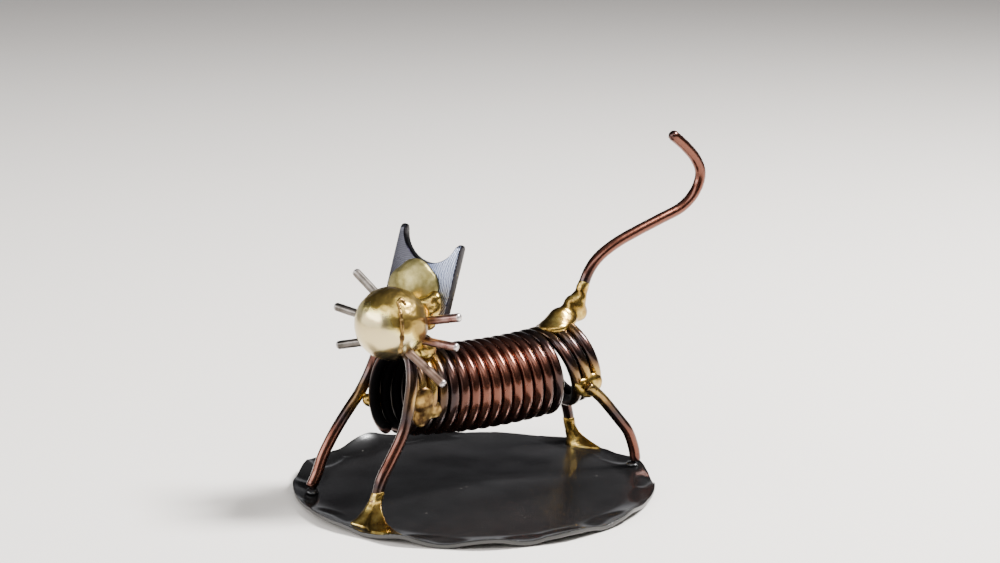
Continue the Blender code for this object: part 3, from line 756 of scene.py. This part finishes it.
TIP_DEPTH = 1.5  # how far down from each tip the edges are filed round, in mm
for top in EAR_TOPS.values():
    for share in (0.12, 0.3, 0.55, 1.0):
        hold(ears)
        bpy.ops.object.mode_set(mode="EDIT")
        bpy.ops.mesh.select_all(action="SELECT")
        bpy.ops.mesh.bisect(plane_co=head_place(0, top - TIP_DEPTH * share, 0), plane_no=UP)
        bpy.ops.object.mode_set(mode="OBJECT")
store(ears, "face", [float(abs(face.normal.dot(FORWARD)) > 0.9) for face in ears.data.polygons],
      "FACE")
for vert in ears.data.vertices:
    away = (vert.co - PLATE_MIDDLE) / MM
    top = EAR_TOPS[1 if away.dot(RIGHT) > 0 else -1]
    filed = 1 - (top - away.dot(UP)) / TIP_DEPTH
    if filed > 0:
        thin = 1 - 0.97 * math.sqrt(1 - min(1.0, filed) ** 2)
        vert.co -= FORWARD * away.dot(FORWARD) * thin * MM
dress(ears, ["ear_plate"], blued, angle=30)

# %% [markdown]
# ## Whiskers
#
# Six short rods of bright steel, brazed into the sides of the ball. The three on the far side
# stayed grey, the three on the near side took a copper or brown tint from the torch. Their ends
# are ground to soft domes and painted near white: partly bare ground steel, partly a painted
# highlight.

# %% Rod materials
rods = {}
for name, low, high in (("bright_steel_rod", "#4c4843", "#77706a"),
                        ("brown_tinted_rod", "#463830", "#6c584c"),
                        ("copper_tinted_rod", "#6f504a", "#9a7a72")):
    made, tree, shader, where = new_material(name, Metallic=1.0)
    cloud = grain(tree, where, 2.5, 4)
    tint = ramp(tree, cloud, [(0.35, low), (0.65, high)])
    # Near white at the tips: partly bare ground steel, partly a painted highlight.
    ends = mixed(tree, stretch(tree, stored(tree, "cut_mm"), 0.0, 1.0, 1.5, 0.9), tint, "#c9c5c4")
    finish(tree, shader, ends, stretch(tree, cloud, 0.2, 0.42), grain(tree, where, 0.7, 3),
           0.3, 0.05)
    rods[name] = made

# %% Whiskers
WHISKER_R = 1.15 * MM
ROD_START = 6.2  # inside the ball, in mm
WHISKERS = {  # degrees from the head's right, reach, how far below and behind, in mm, and finish
    "whisker_left_upper": (22, 18.2, 0.4, 4.7, "copper_tinted_rod"),
    "whisker_left_middle": (6, 18.3, 3.3, 4.7, "copper_tinted_rod"),
    "whisker_left_lower": (-23, 21.4, 2.3, -1.0, "brown_tinted_rod"),
    "whisker_right_upper": (153, 18.8, -0.9, 4.7, "bright_steel_rod"),
    "whisker_right_middle": (180, 20.2, 1.3, 4.7, "bright_steel_rod"),
    "whisker_right_lower": (203, 18.3, 4.0, 4.7, "bright_steel_rod"),
}
SOFT_END = [(0.0, 0.45), (0.06, 0.66), (0.2, 0.84), (0.42, 0.96)]
for name, (degrees, reach, below, behind, rod_finish) in WHISKERS.items():
    angle = math.radians(degrees)
    ends = [head_place(math.cos(angle) * far, math.sin(angle) * far - below, -behind)
            for far in (ROD_START, (ROD_START + reach) / 2, reach)]
    rod = wire_piece(name + "_rod", smooth_route(ends, 0.8 * MM), WHISKER_R, end=SOFT_END)
    dress(rod, [name], rods[rod_finish])

# %% [markdown]
# ## Braze metal
#
# Brass was melted into every joint. It wets both metals, so it ends in hollow fillets that creep
# along the wires, and it froze with a rippled, lumpy skin. Metaballs flow together in just that
# way: a few balls at the joint and smaller ones along the wires melt into one fillet. They are
# laid out in millimetres on an object scaled down by a thousand, because metaballs have a
# smallest cell, then converted, and given their lumps by a displace modifier.

# %% Braze materials
BRAZE_FINISHES = {  # the colour ramp, the roughness over it, and the height of the ripples in mm
    "torch_brazed_brass": ([(0.25, "#33230f"), (0.8, "#d9c789"), (0.4, "#6f5629"),
                            (0.52, "#987c3e"), (0.66, "#bca45c")], (0.34, 0.16), 0.08),
    "scorched_brass": ([(0.28, "#21180f"), (0.8, "#bda468"), (0.42, "#4a3620"),
                        (0.54, "#7c6238"), (0.66, "#9c8048")], (0.42, 0.22), 0.08),
    "smooth_flowed_brass": ([(0.3, "#6c6136"), (0.75, "#a69c6d"), (0.45, "#82784a"),
                             (0.6, "#978c5c")], (0.5, 0.38), 0.03),
}
brasses = {}
for name, (colours, (dull, bright), height) in BRAZE_FINISHES.items():
    made, tree, shader, where = new_material(name, Metallic=1.0)
    cloud = grain(tree, where, 3.4, 5, Roughness=0.6)
    finish(tree, shader, ramp(tree, cloud, colours), stretch(tree, cloud, dull, bright),
           grain(tree, where, 1.4, 3), 0.4, height)
    brasses[name] = made
brass, scorched = brasses["torch_brazed_brass"], brasses["scorched_brass"]

# %% Lump tool
STIFFNESS = 2.0
SEEN_SHARE = 0.575  # a lone metaball shows at this share of its radius
CELL = 0.34  # in millimetres
IDENTITY = Quaternion()
ROOT_POINTS = 60  # how much of a leg's or the tail's route counts as its root


def fillet(name, lumps, wobble=0.22, floor_z=None):
    """A lump of metal from metaballs, as (centre, radii in mm, turn)."""
    bpy.ops.object.select_all(action="DESELECT")
    bpy.ops.object.metaball_add(type="BALL", radius=1, location=(0, 0, 0))
    drops = named(name)
    family = drops.data
    family.elements.clear()
    family.resolution = family.render_resolution = CELL
    for centre, radii, turn in lumps:
        drop = family.elements.new(type="ELLIPSOID")
        drop.co = centre / MM
        drop.radius = 1
        drop.stiffness = STIFFNESS
        drop.size_x, drop.size_y, drop.size_z = [r / SEEN_SHARE for r in radii]
        drop.rotation = turn
    drops.scale = (MM, MM, MM)
    hold(drops)
    bpy.ops.object.convert(target="MESH")
    lump = named(name)
    settle(lump)
    tidy_mesh(lump, 0.02 * MM)
    modify(lump, "DISPLACE", texture=cloud_texture(name + "_skin", 2.8 * MM),
           strength=wobble * MM, mid_level=0.5, texture_coords="LOCAL")
    if floor_z is not None:
        hold(lump)
        bpy.ops.object.mode_set(mode="EDIT")
        bpy.ops.mesh.select_all(action="SELECT")
        bpy.ops.mesh.bisect(plane_co=(0, 0, floor_z), plane_no=(0, 0, 1), use_fill=True,
                            clear_inner=True)
        bpy.ops.object.mode_set(mode="OBJECT")
    return lump


def along(route, heights, radius):
    """Small drops of braze that creep along a wire, at these heights in millimetres."""
    drops = []
    for height in heights:
        place = min(route, key=lambda point: abs(point.z / MM - height))
        drops.append((place.copy(), (radius,) * 3, IDENTITY))
    return drops


def leaning(degrees):
    """A turn about the X axis."""
    return Quaternion((1, 0, 0), math.radians(degrees))


# %% Brazes on the body
tail_brass = [(coil_place(15.7, 4, COIL_R + 0.4 * MM), (4.6, 4.6, 2.3), leaning(8)),
              (coil_place(16.9, 0, COIL_R + 0.6 * MM), (3.4, 3.4, 2.2), leaning(8)),
              (coil_place(16.4, 1, COIL_R + 2.2 * MM), (2.8, 3.2, 2.4), leaning(20)),
              (tail_route[0] + Vector((0, -1.2, 0.8)) * MM, (2.3, 2.6, 3.0), leaning(-20)),
              (tail_route[0] + Vector((0, 0.8, -1.4)) * MM, (2.3, 2.6, 2.6), IDENTITY)]
for k in range(7):
    tail_brass += along(tail_route[:ROOT_POINTS], (45 + 1.2 * k,), 1.95 - 0.09 * k)
left_shoulder = [(coil_place(0.8, 90, COIL_R + 1.1 * MM), (1.0, 3.0, 3.4), IDENTITY),
                 (coil_place(0.9, 112, COIL_R + 1.0 * MM), (1.0, 2.6, 3.2), IDENTITY),
                 (coil_place(2.0, 104, COIL_R + 0.9 * MM), (0.8, 2.2, 2.2), IDENTITY)]
left_shoulder += along(leg_routes["front_left_leg"], (24, 26, 28, 30, 32, 34), 1.25)
right_shoulder = [(coil_place(0.4, -115, COIL_R + 2.4 * MM), (1.8, 2.8, 2.0), IDENTITY),
                  (coil_place(0.9, -124, COIL_R + 1.2 * MM), (1.6, 2.6, 1.6), IDENTITY)]
right_shoulder += along(leg_routes["front_right_leg"], (23, 25, 27, 29), 1.4)
left_haunch = [(coil_place(15.2, 113, COIL_R + 1.5 * MM), (1.3, 3.8, 2.2), leaning(-38)),
               (coil_place(16.2, 111, COIL_R + 1.4 * MM), (1.3, 3.0, 2.8), leaning(-38))]
for k in range(6):
    left_haunch += along(leg_routes["rear_left_leg"], (25.5 - 1.6 * k,), 1.6 - 0.05 * k)
right_haunch = [(coil_place(16.3, -119, COIL_R + 2.4 * MM), (2.0, 4.8, 2.8), leaning(-38))]
right_haunch += along(leg_routes["rear_right_leg"], (17.5, 19, 20.5, 22, 23.5, 25), 1.5)
for node, lumps, kind in (("tail_braze", tail_brass, brass),
                          ("left_shoulder_braze", left_shoulder, scorched),
                          ("right_shoulder_braze", right_shoulder, brass),
                          ("left_haunch_braze", left_haunch, brass),
                          ("right_haunch_braze", right_haunch, brass)):
    dress(fillet(node + "_metal", lumps), [node], kind, angle=80)

# %% Brazes on the head
head_turn = HEAD_TURN.to_quaternion()
dome = [(head_place(-1.8, 9.0, -10.0), (6.2, 6.4, 2.6), head_turn),
        (head_place(-1.8, 13.2, -10.7), (3.6, 3.0, 1.5), head_turn),
        (head_place(-6.0, 8.6, -10.7), (2.8, 3.6, 1.4), head_turn),
        (head_place(3.0, 10.0, -10.6), (2.4, 3.6, 1.5), head_turn)]
nuggets = [(head_place(5.4, 7.2, -9.6), (2.4, 2.8, 2.0), head_turn),
           (head_place(6.4, 4.4, -8.8), (2.0, 2.4, 2.6), head_turn),
           (head_place(3.4, 6.0, -8.4), (2.2, 1.8, 2.2), head_turn),
           (head_place(7.0, 1.8, -7.4), (1.6, 1.8, 2.0), head_turn)]
neck = [(BALL + Vector((-0.12, 0.76, -0.64)).normalized() * (BALL_R + 3.0 * MM),
         (5.0, 4.0, 3.8), IDENTITY)]
dress(fillet("head_braze_dome", dome, wobble=0.25), ["head_braze"],
      brasses["smooth_flowed_brass"], angle=80)
dress(fillet("head_braze_nuggets", nuggets, wobble=0.6), ["head_braze"], brass, angle=80)
dress(fillet("neck_braze_metal", neck), ["neck_braze"], brass, angle=80)

# %% Bead down the face
BEAD_PATH = [(77, lift) for lift in range(-38, 48, 5)] + [(80, 50), (85, 51), (90, 48), (91, 43)]
bead = []
random.seed(8)
for yaw, lift in BEAD_PATH:
    yaw, lift = math.radians(yaw), math.radians(lift)
    way = Vector((math.sin(yaw) * math.cos(lift), -math.cos(yaw) * math.cos(lift), math.sin(lift)))
    bead.append((BALL + (BALL_R + 0.12 * MM) * way, (random.uniform(0.42, 0.7),) * 3, IDENTITY))
dress(fillet("face_bead_metal", bead, wobble=0.2), ["face_bead"], scorched, angle=80)

# %% Metal round the feet
feet = {name: route[0] for name, route in leg_routes.items()}


def mound(foot, offset, radii, turn=IDENTITY):
    """One drop of a mound beside a foot."""
    return feet[foot] + Vector(offset) * MM, radii, turn


welds = {
    "front_right_foot_weld": [mound("front_right_leg", (0.4, 0.3, -1.1), (2.0, 1.7, 0.8)),
                              mound("front_right_leg", (0.2, 0.6, -0.8), (1.3, 1.3, 1.0))],
    "rear_left_foot_weld": [mound("rear_left_leg", (-0.2, -0.9, -0.9), (1.9, 1.7, 0.8))],
}
for node, lumps in welds.items():
    weld = fillet(node + "_metal", lumps, floor_z=0.5 * MM)
    dress(weld, [node], black, angle=60)

# %% [markdown]
# Two feet stand in a skirt of brass that ran out over the disc in flat webs, with sharp tongues
# where it wet the steel. It is a circle that is extruded upwards ring by ring: the lowest ring
# takes the outline of the puddle, the highest grips the wire, and those between follow a hollow
# curve, steep at the wire and flat at the rim.

# %% Brass skirts
SKIRT_RINGS = 14
HOLLOW = 2.6  # how suddenly the webs narrow towards the wire
CLIMB = 1.15  # how evenly the rings are spread over the height
SKIRTS = {  # how high it grips the wire, then the puddle's tongues as (x, y) from the foot, in mm
    "front_left_foot_braze": (7.2, [
        (-1.9, 1.4), (-2.2, -1.6), (-0.9, -4.7), (3.4, -3.2), (8.0, -3.2), (15.2, 1.2),
        (6.8, 1.4), (2.4, 2.1)]),
    "rear_right_foot_braze": (6.6, [
        (-1.8, 1.2), (-1.9, -0.6), (-1.0, -2.1), (1.6, -2.2), (4.6, -1.2), (9.6, 2.6),
        (4.6, 2.2), (1.6, 2.2)]),
}


def skirt(name, route, height, tongues, grip=1.72, sides=96):
    """A fillet that spreads from a wire onto the disc."""
    foot = route[0]
    loop = smooth_route([Vector((*tongue, 0)) for tongue in tongues + tongues[:1]], 0.25)
    bpy.ops.object.select_all(action="DESELECT")
    bpy.ops.mesh.primitive_circle_add(vertices=sides, radius=1, fill_type="NGON")
    metal_round = named(name)
    bpy.ops.object.mode_set(mode="EDIT")
    bpy.ops.mesh.select_all(action="SELECT")
    for _ in range(SKIRT_RINGS):
        bpy.ops.mesh.extrude_region_move(TRANSFORM_OT_translate={"value": (0, 0, 1)})
    bpy.ops.object.mode_set(mode="OBJECT")
    for vert in metal_round.data.vertices:
        ring = round(vert.co.z)
        share = math.atan2(vert.co.y, vert.co.x) / math.tau % 1.0
        edge = loop[round(share * (len(loop) - 1))] * MM
        up = max(0, ring - 1) / (SKIRT_RINGS - 1)
        rise = foot.z + height * MM * up
        centre = min(route[:ROOT_POINTS], key=lambda point: abs(point.z - rise)).copy()
        around = edge.normalized() * (grip if ring < SKIRT_RINGS else 1.3) * MM
        spread = (1 - up) ** HOLLOW
        place = (centre + around).lerp(foot + edge, spread)
        ground = DISC_T + rim_rise(place.x, place.y)[0]
        lift = (height * MM + foot.z - ground) * up ** CLIMB + 0.12 * MM
        place.z = ground - 0.5 * MM if ring == 0 else ground + lift
        vert.co = place
    tidy_mesh(metal_round)
    modify(metal_round, "DISPLACE", texture=cloud_texture(name + "_skin", 2.6 * MM),
           strength=0.3 * MM, mid_level=0.5, texture_coords="LOCAL")
    return metal_round


for node, (height, tongues) in SKIRTS.items():
    leg = "front_left_leg" if "front_left" in node else "rear_right_leg"
    dress(skirt(node + "_metal", leg_routes[leg], height, tongues), [node], brass, 60)

# %% [markdown]
# ## Floor and light
#
# Shiny metal shows the room more than itself, so the light decides how the cat looks. A large
# pale floor reflects in everything from below. One soft box above gives each turn of the body
# its streak, a wide one in front stands for a window and gives the ball its white band, a narrow
# strip draws a line down each leg, and the rest of the room is dim, so the copper keeps its depth.

# %% Floor
floor_paint, tree, shader, where = new_material("pale_matt_floor", Roughness=0.75)
tint = ramp(tree, grain(tree, where, 900), [(0.3, "#d9d3cc"), (0.7, "#dcd7d1")])
tree.links.new(tint, shader.inputs["Base Color"])
bpy.ops.object.select_all(action="DESELECT")
bpy.ops.mesh.primitive_circle_add(vertices=96, radius=8, fill_type="NGON", location=(0, 0, 0))
floor = named("pale_floor")
floor.data.materials.append(floor_paint)
floor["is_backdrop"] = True

# %% Lights
def soft_box(name, way, distance, size, radiance):
    """A square of light that faces the cat, given by how bright it looks."""
    way = Vector(way).normalized()
    aim = Vector((0, 0, 40 * MM))
    bpy.ops.object.select_all(action="DESELECT")
    bpy.ops.object.light_add(type="AREA", location=aim + way * distance,
                             rotation=way.to_track_quat("Z", "Y").to_euler())
    lamp = named(name)
    lamp.data.shape = "RECTANGLE"
    lamp.data.size, lamp.data.size_y = size
    lamp.data.energy = radiance * math.pi * size[0] * size[1]
    lamp.visible_camera = False


soft_box("top_box", (0.3, 0.53, 0.79), 1.0, (0.22, 0.3), 230)
soft_box("front_window", (-0.15, -0.95, 0.22), 1.2, (1.9, 0.6), 2)
soft_box("front_strip", (-0.09, -0.88, 0.435), 1.2, (1.2, 0.3), 9)
soft_box("over_camera", (0.5, -0.42, 0.76), 1.2, (1.6, 0.4), 5)

world = bpy.data.worlds.new("dim_room")
bpy.context.scene.world = world
world.use_nodes = True
tree = world.node_tree
view = add_node(tree, "ShaderNodeTexCoord").outputs["Generated"]
ways = add_node(tree, "ShaderNodeSeparateXYZ", {}, {0: view}).outputs
near_side = ramp(tree, ways["Z"], [
    (0.0, "#6a6866"), (1.0, "#d8d8dc"), (0.1, "#5c5a5a"), (0.3, "#666466"), (0.55, "#b4b4b8")])
far_side = ramp(tree, ways["Z"], [
    (0.0, "#e0e0e4"), (1.0, "#a4a4a8"), (0.13, "#dcdce0"), (0.21, "#d4d4d8"), (0.27, "#1e1d20"),
    (0.62, "#3c3c40")])
room = mixed(tree, stretch(tree, ways["X"], 0.0, 1.0, 0.3, -0.4), near_side, far_side)
tree.links.new(room, tree.nodes["Background"].inputs["Color"])
tree.nodes["Background"].inputs["Strength"].default_value = 0.75

# %% [markdown]
# ## Measure and finish
#
# The dressed cat has to be the size of the imported model, so both boxes are printed.

# %% Finish
seen_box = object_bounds()
for name, box in (("cad", cad_box), ("visual", seen_box)):
    print(name, [[round(value / MM, 2) for value in corner] for corner in box])
